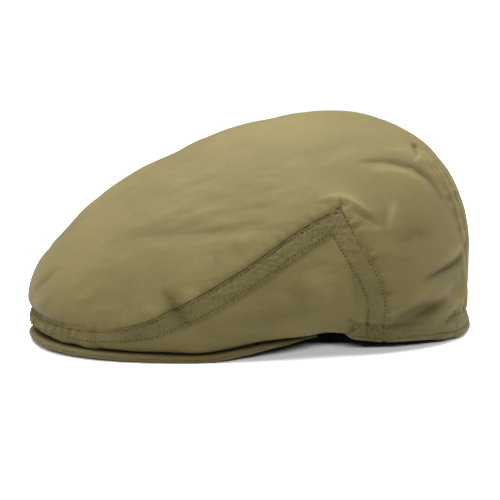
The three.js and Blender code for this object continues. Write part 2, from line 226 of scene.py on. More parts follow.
# -------- the cap's form
def brim_under(x, y):
    """Height of the brim's underside."""
    arc = BRIM_ARC_RISE * (1 - (x / BRIM_HALF_WIDTH) ** 2) - BRIM_SIDE_DROP
    return arc + BRIM_REAR_LIFT * ease((y - BRIM_LIFT_Y) / BRIM_LIFT_RUN)


def brim_gauge(phi):
    return mix(BRIM_GAUGE, BRIM_TIP_GAUGE, ease((turn_of(phi) - 44) / 20))


def rear_edge(y):
    """Height of the rear edge: arched over the ears and flat at the back."""
    return ARCH_Z * fade((y - ARCH_START_Y) / (HEM_FLAT_Y - ARCH_START_Y))


def crown_edge(phi):
    """Radius and height of the crown's lower edge: on the brim in front, and the hem behind."""
    r = oval(phi, CROWN_FRONT_EDGE + POLE_Y, BACK - POLE_Y, HEM_HALF_WIDTH, HEM_ROUNDNESS)
    angle = turn_of(phi)
    r = r - EDGE_SETBACK * fade((angle - 50) / 14)
    x, y = plan(phi, r)
    on_brim = brim_under(x, y) + brim_gauge(phi) + EDGE_GAP
    lift = SIDE_EDGE_LIFT * ease((angle - 60) / 12) * fade((angle - HEM_CORNER + 2) / 6)
    lift = lift + HEM_SIDE_LIFT * ease((angle - 94) / 16) * fade((angle - 146) / 26)
    z = mix(on_brim, rear_edge(y) + lift, ease((angle - 54) / 10))
    return r, mix(np.maximum(z, on_brim), z, ease((angle - 60) / 9))


def head_ring(phi):
    """Radius and height of the head opening."""
    r = oval(phi, FOREHEAD + POLE_Y, BACK - POLE_Y, HEM_HALF_WIDTH, HEM_ROUNDNESS)
    x, y = plan(phi, r)
    return r, mix(brim_under(x, y) + 1.5, rear_edge(y) + 2, ease((y + 45) / 50))


def bezier(a, b, c, d, t):
    return (1 - t) ** 3 * a + 3 * t * (1 - t) ** 2 * b + 3 * t * t * (1 - t) * c + t ** 3 * d


def dome(phi, s, top, widest, bulge_z, edge):
    """A dome's profile: from the pole out to its widest ring, then turned under to its edge."""
    t = np.clip(s / BULGE_S, 0, 1)
    reach = by_direction(phi, *TOP_REACH) * widest
    shoulder = bulge_z + by_direction(phi, *SHOULDER) * (top - bulge_z)
    q = np.clip((s - BULGE_S) / (1 - BULGE_S), 0, 1)
    low_r = edge[0] + (widest - edge[0]) * (1 - q ** UNDERTURN) ** (1 / UNDERTURN)
    r = np.where(s <= BULGE_S, bezier(0, reach, widest, widest, t), low_r)
    z = np.where(s <= BULGE_S, bezier(top, top, shoulder, bulge_z, t), mix(bulge_z, edge[1], q))
    return at(phi, r, z)


def crown_form(phi, s):
    """The crown's plain outer surface."""
    widest = oval(phi, FRONT + POLE_Y, BACK - POLE_Y, HALF_WIDTH, CROWN_ROUNDNESS)
    return dome(phi, s, TOP_Z, widest, by_direction(phi, *BULGE_Z), crown_edge(phi))


def lining_form(phi, s):
    """The lining's outer surface: it closes in at the forehead instead of running out over the brim."""
    temple = np.where(np.cos(phi) > 0, np.sin(2 * phi) ** 2, 0)
    back = BACK - POLE_Y - LINING_SIDE_GAP
    plain = oval(phi, LINING_FRONT + POLE_Y, back, HALF_WIDTH - LINING_SIDE_GAP, CROWN_ROUNDNESS)
    widest = plain * (1 - 0.06 * temple)
    r, z = head_ring(phi)
    over_brim = brim_under(*plan(phi, r)) + brim_gauge(phi) + 0.6
    z = np.where(np.cos(phi) > 0.4, np.maximum(z + 0.4, over_brim), z + 0.4)
    return dome(phi, s, TOP_Z - LINING_TOP_GAP, widest, by_direction(phi, *LINING_BULGE_Z), (r - 2.3, z))


def normals_of(form, phi, s):
    """Outward unit normals of a form at (phi, s)."""
    low = np.clip(s, 0.012, 0.985)
    along = form(phi + 0.004, low) - form(phi - 0.004, low)
    down = form(phi, low + 0.004) - form(phi, low - 0.004)
    n = unit(np.cross(down, along))
    outward = form(phi, low) - HEART
    return n * np.where((n * outward).sum(-1, keepdims=True) < 0, -1, 1)


def cloth_scale(phi, s):
    """Millimetres of cloth per unit of s, and per degree of phi."""
    low = np.clip(s, 0.02, 0.985)
    down = np.linalg.norm(crown_form(phi, low + 0.004) - crown_form(phi, low - 0.004), axis=-1) / 0.008
    turn = np.linalg.norm(crown_form(phi + 0.004, low) - crown_form(phi - 0.004, low), axis=-1)
    return down, turn / np.degrees(0.008)


# -------- seams
front_curve = curve_through(FRONT_SEAM, 460)
back_curve = curve_through(BACK_SEAM, 260)


def seam_edge(angle):
    """s of the seam between the crown and the side panel, at an angle in degrees."""
    front = np.interp(angle, front_curve[:, 0], front_curve[:, 1])
    back = np.interp(angle, back_curve[:, 0], back_curve[:, 1])
    return np.where(angle < APEX, front, back)


def beside(curve, distance, steps=12):
    """A curve of (phi, s) points at a distance inside the V, found by walking over the cloth."""
    ahead = np.gradient(curve, axis=0)
    down, turn = cloth_scale(np.radians(curve[:, 0]), curve[:, 1])
    along = ahead[:, 0] * turn
    drop = ahead[:, 1] * down
    step = distance / np.hypot(along, drop) / steps
    phi, s = curve.T
    for _ in range(steps):
        down, turn = cloth_scale(np.radians(phi), s)
        phi = phi - step * drop / turn
        s = s + step * along / down
    return np.stack([phi, np.minimum(s, 0.99)], -1)


def front_far(angle):
    return mix(*FRONT_ROW_FAR, ease((angle - 12) / 30))


def line_of(curve):
    """Points of a (phi, s) curve on the form, and the way along it in millimetres."""
    points = crown_form(np.radians(curve[:, 0]), curve[:, 1])
    steps = np.linalg.norm(np.diff(points, axis=0), axis=-1)
    return points, np.concatenate([[0], np.cumsum(steps)])


def nearest(points, line):
    """Distance from each point to a line, and the way along the line to its nearest point."""
    path, way = line
    path32 = path.astype(np.float32)
    distance = np.empty(len(points))
    along = np.empty(len(points))
    for start in range(0, len(points), 8192):
        part = points[start:start + 8192].astype(np.float32)
        gap = ((part[:, None] - path32[None]) ** 2).sum(-1)
        best = gap.argmin(1)
        distance[start:start + 8192] = np.sqrt(gap[np.arange(len(part)), best])
        along[start:start + 8192] = way[best]
    return distance, along


FRONT_LINE = line_of(front_curve)
BACK_LINE = line_of(back_curve)
DART_LINES = [line_of(curve_through(row, 130)) for row in (DART_FRONT, DART_REAR)]


# -------- relief of the cloth
def ripple(way, length, seed):
    """Uneven ripples along a line, about -1 to 1."""
    rng = np.random.default_rng(seed)
    waves = length * rng.uniform(0.7, 1.5, 6)
    starts = rng.uniform(0, 2 * np.pi, 6)
    return sum(np.sin(2 * np.pi * way / w + a) for w, a in zip(waves, starts)) / 6 ** 0.5


def undulation(points, length, seed, count=14):
    """A smooth random height over space, about -1 to 1, with features of a given length."""
    rng = np.random.default_rng(seed)
    waves = unit(rng.normal(size=(count, 3))) * 2 * np.pi / (length * rng.uniform(0.75, 1.6, (count, 1)))
    starts = rng.uniform(0, 2 * np.pi, count)
    return np.sin(points @ waves.T + starts).sum(-1) / count ** 0.5


# creases: points as (phi in degrees, s), height (a valley is negative) and half-width in millimetres;
# one that starts between the two MIDDLE directions is on both sides of the cap
CREASES = [
    ([(29.5, 0.635), (32, 0.675), (34, 0.725), (36.5, 0.79)], -2.6, 3.0),
    ([(34, 0.64), (36.5, 0.67), (38.5, 0.66)], 1.4, 2.6),
    ([(27, 0.69), (29.5, 0.72), (31, 0.77)], 0.9, 2.4),
    ([(13, 0.54), (22, 0.49), (38, 0.48), (58, 0.5)], -0.9, 5.0),
    ([(24, 0.52), (36, 0.51), (48, 0.52)], 0.5, 6.0),
    ([(37, 0.53), (40, 0.57), (41, 0.6)], -0.8, 2.0),
    ([(41, 0.5), (44, 0.55), (45, 0.59)], -0.5, 2.4),
    ([(66, 0.438), (73, 0.442), (80, 0.466), (88, 0.52)], 1.5, 2.6),
    ([(79, 0.488), (84, 0.517), (91, 0.56)], -1.2, 2.6),
    ([(99, 0.475), (96, 0.53), (93.5, 0.585)], 1.5, 3.0),
    ([(94.5, 0.5), (92.5, 0.55), (91.5, 0.61)], -0.8, 3.0),
    ([(84, 0.332), (98, 0.333), (108, 0.348), (118, 0.392), (122.5, 0.445), (125, 0.56)], -2.2, 3.4),
    ([(90, 0.372), (104, 0.38), (113, 0.42), (118, 0.49)], 1.2, 5.5),
    ([(104, 0.29), (116, 0.3), (125, 0.34), (128, 0.4)], 0.8, 4.5),
    ([(128, 0.31), (133, 0.297), (140, 0.298)], -2.5, 2.2),
    ([(134, 0.31), (127, 0.325), (119, 0.352)], -1.2, 2.0),
    ([(130, 0.33), (124, 0.346), (118, 0.37)], 0.9, 2.2),
    ([(141, 0.67), (134, 0.712), (127, 0.733), (119, 0.734), (112, 0.738), (104, 0.75)], -3.4, 2.6),
    ([(136, 0.66), (129, 0.7), (120, 0.714), (110, 0.722)], 2.2, 3.2),
    ([(120, 0.848), (112, 0.868), (104, 0.88), (97, 0.905), (92.5, 0.94)], -4.2, 4.8),
    ([(124, 0.8), (116, 0.822), (108, 0.838)], 1.1, 4.0),
    ([(133.5, 0.76), (133, 0.82), (131, 0.872), (124, 0.882), (118, 0.915)], 2.4, 2.8),
    ([(141, 0.915), (134, 0.912), (127, 0.92), (119, 0.943)], -2.4, 2.0),
    ([(0, 0.7), (4, 0.65), (6, 0.6)], -1.2, 3.4),
    ([(0, 0.735), (5, 0.72), (9, 0.66)], 0.8, 3.0),
    ([(62, 0.66), (68, 0.7), (73, 0.77)], 0.9, 5.0),
    ([(56, 0.68), (62, 0.72), (66, 0.79)], -0.7, 4.0),
    ([(44, 0.76), (58, 0.8), (72, 0.78)], -0.7, 5.0),
    ([(78, 0.66), (81, 0.74), (82, 0.84)], -0.7, 3.0),
    ([(70, 0.56), (74, 0.6), (77, 0.66)], 0.6, 3.6),
    ([(95, 0.62), (104, 0.6), (113, 0.62)], -0.9, 5.0),
    ([(98, 0.81), (106, 0.8), (114, 0.79)], 0.9, 4.0),
    ([(80.5, 0.915), (79.6, 0.94), (80.2, 0.965)], -1.6, 1.3),
    ([(152, 0.53), (166, 0.575), (184, 0.57), (200, 0.53)], -1.1, 4.6),
    ([(147, 0.765), (158, 0.81), (174, 0.82)], -1.5, 3.6),
    ([(188, 0.745), (201, 0.76), (213, 0.8)], -1.2, 3.8),
    ([(156, 0.885), (172, 0.872), (190, 0.89), (206, 0.88)], 0.9, 3.0),
    ([(150, 0.42), (166, 0.39), (187, 0.405)], -0.7, 5.5),
    ([(20, 0.2), (60, 0.26), (100, 0.22)], -0.6, 6.0),
    ([(64, 0.33), (78, 0.3), (92, 0.27)], 0.6, 6.0),
]
PUFF = 0.8
SUNK = 0.75
TIP_RIBS = 0.62
FAR_SIDE_TURN = 4.0
FAR_SIDE_DEPTH = 0.75
MIDDLE = (10.0, 142.0)


def mirrored(points):
    """The points with those of the right half laid onto the left half."""
    return np.stack([np.abs(points[:, 0]), points[:, 1], points[:, 2]], -1)


def crease_height(points, is_left):
    """The sum of all creases; the far side has those away from the middle, a little turned and shallower."""
    height = np.zeros(len(points))
    folded = mirrored(points)
    for row, depth, width in CREASES:
        if MIDDLE[0] < row[0][0] < MIDDLE[1]:
            places = ((folded, is_left, 0, 1), (folded, ~is_left, FAR_SIDE_TURN, FAR_SIDE_DEPTH))
        else:
            places = ((points, True, 0, 1),)
        for spots, side, turn, share in places:
            path, way = line_of(curve_through([(a + turn * (a > 40), s) for a, s in row], 40))
            reach = 2.6 * width
            near = side & np.all((spots > path.min(0) - reach) & (spots < path.max(0) + reach), -1)
            if not near.any():
                continue
            distance, along = nearest(spots[near], (path, way))
            t = along / way[-1]
            taper = np.clip(4 * t * (1 - t), 0, 1)
            profile = np.exp(-np.abs(distance / (width * (0.45 + 0.55 * taper))) ** 1.35)
            height[near] += share * depth * profile * taper
    return height


def needle_dots(along):
    """The pull of each stitch on the cloth along a row, from a light groove to a dimple."""
    return 0.25 + 0.75 * (0.5 + 0.5 * np.cos(2 * np.pi * along / STITCH_PITCH)) ** 2


def band_profile(distance, along, near, far):
    """A felled band beside a seam: a raised fold with a dimpled groove at each of its two rows."""
    rise = ease((distance + 0.2) / 1.5)
    fall = fade((distance - far + 0.2) / 2.2)
    grooves = 0.55 * bell((distance - near) / 0.75) + 0.55 * bell((distance - far) / 0.85)
    return 0.5 * rise * fall - grooves * needle_dots(along)


def band_pleats(distance, along, far, length, seed):
    """Puckers drawn up by the two rows, strongest between them."""
    within = ease((distance - 0.3) / 1.6) * fade((distance - far + 0.5) / 3)
    strength = np.clip(0.8 + 0.4 * ripple(along, 26, seed + 9), 0.3, 1.3)
    slanted = along + 0.5 * distance * (1 + 0.5 * ripple(along, 60, seed + 3))
    broad = ripple(slanted, length, seed) - 0.3 * np.abs(ripple(slanted, 1.6 * length, seed + 1))
    fine = 0.6 * ripple(slanted, 2.7, seed + 5) + 0.5 * ripple(along - 0.8 * distance, 3.1, seed + 6)
    return within * strength * (0.7 * broad + fine)


def band_share(distance, far):
    """1 on a felled band, fading to 0 past its rows."""
    return ease((distance + 0.3) / 0.8) * fade((distance - far - 0.4) / 2.4)


def crinkle(points, seed):
    """Short dry wrinkles running every way, about -1 to 1, with sharp valleys."""
    first = undulation(points, 5.5, seed, 12)
    second = undulation(points, 3.4, seed + 1, 12)
    return 0.6 - 1.1 * np.abs(first) + 0.4 * second


def hem_share(angle):
    """1 where the lower edge is a turned hem, behind the brim, and 0 along the brim."""
    return ease((angle - HEM_CORNER + 0.6) / 1.2)


def relief(phi, s, is_side):
    """Height in millimetres of the sewn cloth over the plain form, and the part of it that is creases."""
    points = crown_form(phi, s)
    angle = turn_of(phi)
    is_left = np.sin(phi) >= 0
    folded = mirrored(points)
    front_gap, front_way = nearest(folded, FRONT_LINE)
    back_gap, back_way = nearest(folded, BACK_LINE)
    darts = [nearest(folded, line)[0] for line in DART_LINES]
    seam_gap = np.minimum(front_gap, back_gap)
    still = ease(seam_gap / 14) * ease((1 - s) / 0.08)

    height = 0.42 * still * undulation(points, 90, 11) + 0.4 * still * undulation(points, 34, 12)
    streaks = undulation(points * [1, 0.35, 1], 11, 13) + 0.6 * undulation(points * [0.8, 0.3, 1], 6, 14)
    height += 0.25 * streaks * np.clip(0.6 + 0.6 * undulation(points, 60, 15), 0, 1.4)
    creases = crease_height(points, is_left)
    height += creases
    front_depth = mix(3.0, 0.3, ease(angle / 24)) * fade((angle - 68) / 8)
    height -= front_depth * bell(front_gap / 3.4)

    side_seed = np.where(is_left, 0.0, 137.0)
    tip = fade((angle - 12) / 14)
    far = front_far(angle)
    if is_side:
        front_band = band_profile(front_gap, front_way, FRONT_ROW_NEAR, far)
        back_band = band_profile(back_gap, back_way, BACK_ROW_NEAR, BACK_ROW_FAR)
        bands = np.maximum(front_band, back_band)
        height += bands * (1 - 0.5 * ease((s - 0.88) / 0.08) * ease((angle - 70) / 8))
        sunk = ease((angle - 14) / 16) * fade(front_gap / 34)
        height -= SUNK * sunk
        ribs = band_pleats(front_gap, front_way + side_seed, far, 6.4, 24)
        pleats = band_pleats(front_gap, front_way + side_seed, far, 3.9, 21)
        height += 0.2 * (1 - tip) * pleats + TIP_RIBS * tip * ribs
        height += 0.2 * band_pleats(back_gap, back_way + side_seed, BACK_ROW_FAR, 4.2, 31)
        banded = np.maximum(band_share(front_gap, far), band_share(back_gap, BACK_ROW_FAR))
        height += 0.2 * banded * crinkle(points, 35)
    else:
        height -= 0.7 * bell(back_gap / 3)
        puffed = ease((angle - 14) / 16)
        lip = ease(front_gap / 1.4) * bell(front_gap / 17) - 0.15 * bell(front_gap / 0.9)
        height += PUFF * puffed * lip
        seam_way = np.where(front_gap < back_gap, front_way, back_way)
        height += 0.32 * bell((seam_gap - 2) / 3) * ripple(seam_way + side_seed, 5.5, 41)

    dart_near = np.minimum(*darts)
    between = (angle > 129) & (angle < 141) & (s > 0.33)
    height -= 0.7 * bell(darts[0] / 1.1) + 0.7 * bell(darts[1] / 1.1)
    height += 0.6 * between * ease(dart_near / 1.5)
    height += 0.35 * bell(dart_near / 6) * ripple(points[:, 2] + side_seed, 6.5, 51)

    hem = hem_share(angle)
    above = points[:, 2] - crown_edge(phi)[1]
    hem_way = angle * 1.7 + side_seed
    gathered = 1 - 0.75 * ease((angle - 96) / 12)
    in_hem = hem * fade((above - HEM_DEPTH + 0.8) / 1.6)
    height += 0.55 * in_hem - 0.5 * hem * bell((s - HEM_ROW) / 0.0035)
    top_line = bell((above - HEM_DEPTH - 0.7 * ripple(hem_way, 9, 63)) / 1.1)
    height -= 0.9 * hem * gathered * np.clip(0.6 + 0.6 * ripple(hem_way, 5, 64), 0.2, 1.3) * top_line
    pulls = ripple(hem_way + 0.8 * above, 4.2, 61) + 0.8 * ripple(hem_way - 0.9 * above, 3.4, 62)
    pulls += 0.9 * crinkle(points, 65)
    height += hem * gathered * 0.27 * pulls * bell((above - 0.6 * HEM_DEPTH) / 5.5)
    waist = ease((angle - 118) / 25)
    height += waist * (1.1 * bell((above - 2) / 4) - 1.1 * bell((above - 11) / 3.2))
    return height, creases


def cloth_surface(phi, s, is_side):
    """Points of the finished outer cloth, the form's normals, the relief and its creases."""
    height, creases = relief(phi, s, is_side)
    normals = normals_of(crown_form, phi, s)
    return crown_form(phi, s) + normals * height[:, None], normals, height, creases


def cloth_grid(phi, s, is_side):
    """Points, form normals and painted light and wear of the finished outer cloth over a grid."""
    points, normals, height, creases = cloth_surface(phi.ravel(), s.ravel(), is_side)
    painted_light_and_wear = painted_light_and_wear_of(phi.ravel(), s.ravel(), height, creases, is_side)
    return points.reshape(*s.shape, 3), normals.reshape(*s.shape, 3), painted_light_and_wear.reshape(s.shape)


# -------- meshes
def merge_coincident(mesh):
    """Joins points that lie in one place, and drops the faces that they leave without an area."""
    work = bmesh.new()
    work.from_mesh(mesh)
    bmesh.ops.remove_doubles(work, verts=work.verts, dist=1e-6)
    work.to_mesh(mesh)
    work.free()


def new_object(name, data):
    made = bpy.data.objects.new(name, data)
    bpy.context.scene.collection.objects.link(made)
    return made


def new_piece(name, points, faces, material, replaced, uvs=None, painted_light_and_wear=None, merge=False):
    """A smooth-shaded mesh in metres, riding on the cap and standing for CAD nodes."""
    mesh = bpy.data.meshes.new(name)
    mesh.from_pydata((np.asarray(points) * MM).tolist(), [], faces)
    mesh.validate()
    piece = new_object(name, mesh)
    corner_points = np.empty(len(mesh.loops), int)
    mesh.loops.foreach_get("vertex_index", corner_points)
    if uvs is None:
        uvs = np.asarray(points)[:, :2] / 10
    layer = mesh.uv_layers.new(name="cloth")
    layer.data.foreach_set("uv", np.asarray(uvs, np.float32)[corner_points].ravel())
    # painted light and shade, with some rubbing, kept per point to lighten or darken the cloth colour
    light_and_wear_layer = mesh.attributes.new("painted_light_and_wear", "FLOAT", "POINT")
    if painted_light_and_wear is None:
        painted_light_and_wear = np.zeros(len(points))
    light_and_wear_layer.data.foreach_set("value", np.asarray(painted_light_and_wear, np.float32))
    if merge:
        merge_coincident(mesh)
    mesh.polygons.foreach_set("use_smooth", [True] * len(mesh.polygons))
    mesh.materials.append(material)
    mesh.update()
    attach(piece, "root")
    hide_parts(*replaced)


def swept_faces(count, size, ring):
    """Quads between count closed loops of equal size, loop by loop; ring joins the last to the first."""
    loops = np.arange(count if ring else count - 1)
    k = np.repeat(loops, size)
    i = np.tile(np.arange(size), len(loops))
    after = (k + 1) % count
    following = (i + 1) % size
    corners = [k * size + i, after * size + i, after * size + following, k * size + following]
    return np.stack(corners, -1).tolist()


def end_faces(first, size):
    """Faces that close one end of a sweep, whose loop runs out along one skin and back along the other."""
    half = size // 2
    return [[first + i, first + i + 1, first + size - 2 - i, first + size - 1 - i] for i in range(half - 1)]


def facing_out(points, faces):
    """The faces, turned over if they enclose a negative volume."""
    a, b, c, d = (np.asarray(points)[[f[i] for f in faces]] for i in (0, 1, 2, -1))
    volume = (a * np.cross(b, c)).sum() + (a * np.cross(c, d)).sum()
    return faces if volume > 0 else [f[::-1] for f in faces]


def swept(loops, ring=False):
    """Points and faces of a body swept through loops of shape (count, size, 3)."""
    count, size = loops.shape[:2]
    points = loops.reshape(-1, 3)
    faces = swept_faces(count, size, ring)
    if not ring:
        faces += [f[::-1] for f in end_faces(0, size)] + end_faces((count - 1) * size, size)
    return points, facing_out(points, faces)


def grain(phi, s, turn=0.0):
    """Flat-pattern coordinates of the cloth, in centimetres."""
    radius = 20 * s
    return np.stack([radius * np.sin(phi + turn), -radius * np.cos(phi + turn)], -1)


def painted_light_and_wear_of(phi, s, height, creases, is_side):
    """Painted light and shade on the cloth, with some rubbing: lighter (positive) on ridges and between the
    darts, darker (negative) in grooves, creases, felled bands and the hem.
    """
    points = crown_form(phi, s)
    angle = turn_of(phi)
    folded = mirrored(points)
    # painted highlight on raised cloth, partly rubbing, and painted shade on low cloth
    level = 0.3 * np.clip((height - (0.2 if is_side else 0.0)) / 1.4, -1, 1)
    # painted shade in crease valleys and painted highlight on crease ridges
    level += 0.6 * np.clip(creases / 2.4, -1, 0.7)
    # painted highlight: a lighter strip between the rear darts
    painted_dart_highlight = ease((angle - 127) / 5) * fade((angle - 135) / 6)
    level += 0.6 * painted_dart_highlight * ease((s - 0.62) / 0.14) * fade((s - 0.9) / 0.07)
    if is_side:
        front_gap = nearest(folded, FRONT_LINE)[0]
        back_gap = nearest(folded, BACK_LINE)[0]
        front_band = band_share(front_gap, front_far(angle))
        banded = np.maximum(front_band, 0.7 * band_share(back_gap, BACK_ROW_FAR))
        # painted shade on the felled bands, less at the front tip
        level -= 0.5 * banded * (1 - 0.7 * fade((angle - 14) / 14))
    above = points[:, 2] - crown_edge(phi)[1]
    in_hem = hem_share(angle) * fade((above - HEM_DEPTH) / 2)
    # painted shade over the turned hem, less towards the back
    return level - 0.45 * in_hem * (1 - 0.6 * ease((angle - 96) / 14))


# -------- columns and rows of the panels
def spaced(*stretches):
    """Angles from stretches given as (start, end, step), joined end to end."""
    runs = [np.arange(a, b, step) for a, b, step in stretches]
    return np.concatenate(runs + [[stretches[-1][1]]])


CROWN_HALF = spaced(
    (0, 30, 0.7), (30, 70, 0.85), (70, 98, 0.42), (98, 127, 0.95), (127, 142, 0.5), (142, 180, 1.15),
)
CROWN_LEVELS = spaced(
    (0.012, 0.27, 0.0115), (0.27, 0.4, 0.0062), (0.4, 0.84, 0.0056), (0.84, 0.93, 0.007), (0.93, 1, 0.0035),
)
TUCK_ANGLE = 0.5
TUCK_DOWN = 0.4


def crown_cloth(material):
    """The crown: one sheet over the pole, its edge tucked under the side panels, its rear edge hemmed."""
    angles = np.concatenate([-CROWN_HALF[-2:0:-1], CROWN_HALF])
    phi = np.radians(angles)
    size = np.abs(angles)
    is_rear = size >= BACK_SEAM[-1][0] - TUCK_ANGLE
    down, _ = cloth_scale(phi, seam_edge(size))
    tucked = np.where(size < APEX, seam_edge(size) + TUCK_DOWN / down, seam_edge(size + TUCK_ANGLE))
    edge = np.where(is_rear, 1.0, tucked)
    s = np.minimum(CROWN_LEVELS, edge[:, None])
    outer, normals, painted_light_and_wear = cloth_grid(np.broadcast_to(phi[:, None], s.shape), s, False)
    gauge = np.where(is_rear[:, None] & (s > HEM_TOP), 2 * CLOTH, CLOTH)[..., None]
    rim = outer[:, -1:] - normals[:, -1:] * gauge[:, -1:] / 2
    inner_rows = np.linspace(len(CROWN_LEVELS) - 1, 6, 16).astype(int)
    inner = (outer - normals * gauge)[:, inner_rows]
    points, faces = capped(np.concatenate([outer, rim, inner], 1), crown_form(np.zeros(1), np.zeros(1)))
    loop_rows = [*range(len(CROWN_LEVELS)), -1, *inner_rows]
    uvs = grain(phi[:, None], s[:, loop_rows]).reshape(-1, 2)
    uvs = np.concatenate([uvs, np.zeros((2, 2))])
    painted_light_and_wear = np.append(painted_light_and_wear[:, loop_rows], [0, 0])
    new_piece("crown_cloth", points, faces, material, ["crown_panel"], uvs, painted_light_and_wear, True)


def capped(loops, pole):
    """A sheet over a pole: loops run down the outer skin and back up the inner one, to two middle points."""
    count, size = loops.shape[:2]
    points = np.concatenate([loops.reshape(-1, 3), pole, loops[:, -1].mean(0)[None]])
    top = count * size
    faces = [f for n, f in enumerate(swept_faces(count, size, True)) if n % size != size - 1]
    for k in range(count):
        after = (k + 1) % count
        faces.append([top, after * size, k * size])
        faces.append([top + 1, k * size + size - 1, after * size + size - 1])
    return points, facing_out(points, faces)


SIDE_COLUMNS = 340
SIDE_ROWS = 100
TUCK_STEPS = (0.15, 0.45, 1.0)


def even_ends(count, share):
    """Steps from 0 to 1 that are closer together at both ends."""
    t = np.linspace(0, 1, count)
    return t - share * np.sin(2 * np.pi * t) / (2 * np.pi)


def side_patch():
    """(phi, s) over the V: its rows run along the front seam and its columns along the back seam."""
    a = even_ends(SIDE_COLUMNS, 0.25)
    b = even_ends(SIDE_ROWS, 0.4)
    top = on_curve(front_curve, np.linspace(0, 1, len(front_curve)), a)
    right = on_curve(back_curve, np.linspace(0, 1, len(back_curve)), b)
    last_angle = BACK_SEAM[-1][0]
    bottom = np.stack([last_angle * a, np.ones_like(a)], -1)
    left = np.stack([np.zeros_like(b), mix(FRONT_SEAM[0][1], 1, b)], -1)
    a = a[:, None, None]
    b = b[None, :, None]
    ruled = (1 - b) * top[:, None] + b * bottom[:, None] + (1 - a) * left[None] + a * right[None]
    corners = (1 - a) * ((1 - b) * top[0] + b * bottom[0]) + a * ((1 - b) * top[-1] + b * bottom[-1])
    grid = ruled - corners
    return np.maximum(grid[..., 0], 0.06), np.minimum(grid[..., 1], 1)


def tucked_edge(phi, edge):
    """Rows that carry the lower edge inward: down onto the brim in front, and a short turning behind."""
    angle = turn_of(phi)
    reach = mix(TUCK, 0.5, ease((angle - 58) / 6))
    inward = np.stack([-np.sin(phi), np.cos(phi), 0 * phi], -1)
    rows = []
    for t in TUCK_STEPS:
        row = edge + inward * (reach * t)[:, None]
        on_brim = brim_under(row[:, 0], row[:, 1]) + brim_gauge(phi) + 0.2
        drop = (row[:, 2] - on_brim) * ease(t * 1.4) * fade((angle - 56) / 6)
        row[:, 2] -= np.maximum(drop, 0)
        rows.append(row)
    return np.stack(rows, 1)


def round_edge(grid):
    """Values of a grid carried round the tucked edge and back along the inner skin."""
    edge = np.repeat(grid[:, -1:], 2 * len(TUCK_STEPS), 1)
    return np.concatenate([grid, edge, grid[:, ::-1]], 1)


def side_cloth(side, word, material):
    """A V-shaped side panel, from the front seam and back seam down to the brim and the hem."""
    angles, s = side_patch()
    phi = side * np.radians(angles)
    outer, normals, painted_light_and_wear = cloth_grid(phi, s, True)
    inner = outer - normals * CLOTH
    tuck = tucked_edge(phi[:, -1], outer[:, -1])
    tuck_inner = tuck + [0, 0, CLOTH]
    points, faces = swept(np.concatenate([outer, tuck, tuck_inner[:, ::-1], inner[:, ::-1]], 1))
    uvs = grain(round_edge(phi), round_edge(s), 0.6 * side).reshape(-1, 2)
    painted_light_and_wear = round_edge(painted_light_and_wear).ravel()
    name = f"side_cloth_{word}"
    new_piece(name, points, faces, material, [f"side_panel_{word}"], uvs, painted_light_and_wear)


# -------- stitches
def stitch_mesh(centres, ups, forwards):
    """Separate stitches as small tapered tubes that dip into the cloth at both ends."""
    rings = np.linspace(-1, 1, STITCH_RINGS)
    sink = -0.42 * np.abs(rings) ** 3
    girth = STITCH_RADIUS * np.array([0.55, 0.95, 1, 0.95, 0.55])
    turns = np.arange(STITCH_SIDES) * 2 * np.pi / STITCH_SIDES
    across = unit(np.cross(forwards, ups))[:, None]
    ups = ups[:, None]
    run = forwards[:, None] * (rings * STITCH_LENGTH / 2)[:, None]
    spine = centres[:, None] + run + ups * sink[:, None]
    rim = across * np.cos(turns)[:, None] + ups * np.sin(turns)[:, None]
    points = spine[:, :, None] + rim[:, None] * girth[:, None, None]
    size = STITCH_RINGS * STITCH_SIDES
    stitch = [[a, d, c, b] for a, b, c, d in swept_faces(STITCH_RINGS, STITCH_SIDES, False)]
    stitch += [list(range(STITCH_SIDES))[::-1], list(range(size - STITCH_SIDES, size))]
    faces = [[k * size + i for i in f] for k in range(len(centres)) for f in stitch]
    return points.reshape(-1, 3), faces


def stitch_row(name, curve, side, is_side, node, material, both_sides=False):
    """Stitches along a curve of (phi, s) points on the finished cloth."""
    if both_sides:
        curve = np.concatenate([curve[:0:-1] * [-1, 1], curve])
    curve = curve * [side, 1]
    points, way = line_of(curve)
    stops = np.arange(STITCH_PITCH, way[-1] - STITCH_PITCH / 2, STITCH_PITCH)

    def cloth_at(places):
        phi, s = on_curve(curve, way, places).T
        return cloth_surface(np.radians(phi), s, is_side)[:2]

    here, ups = cloth_at(stops)
    ahead, _ = cloth_at(stops + 0.5)
    rng = np.random.default_rng(len(stops))
    forwards = unit(ahead - here + rng.normal(size=here.shape) * 0.025)
    centres = here + ups * 0.1 + np.cross(forwards, ups) * rng.normal(size=(len(stops), 1)) * 0.12
    mesh_points, faces = stitch_mesh(centres, ups, forwards)
    new_piece(name, mesh_points, faces, material, [node])


def share_of(curve, start, end):
    """The part of a curve between two shares of its points."""
    return curve[int(len(curve) * start):int(len(curve) * end)]


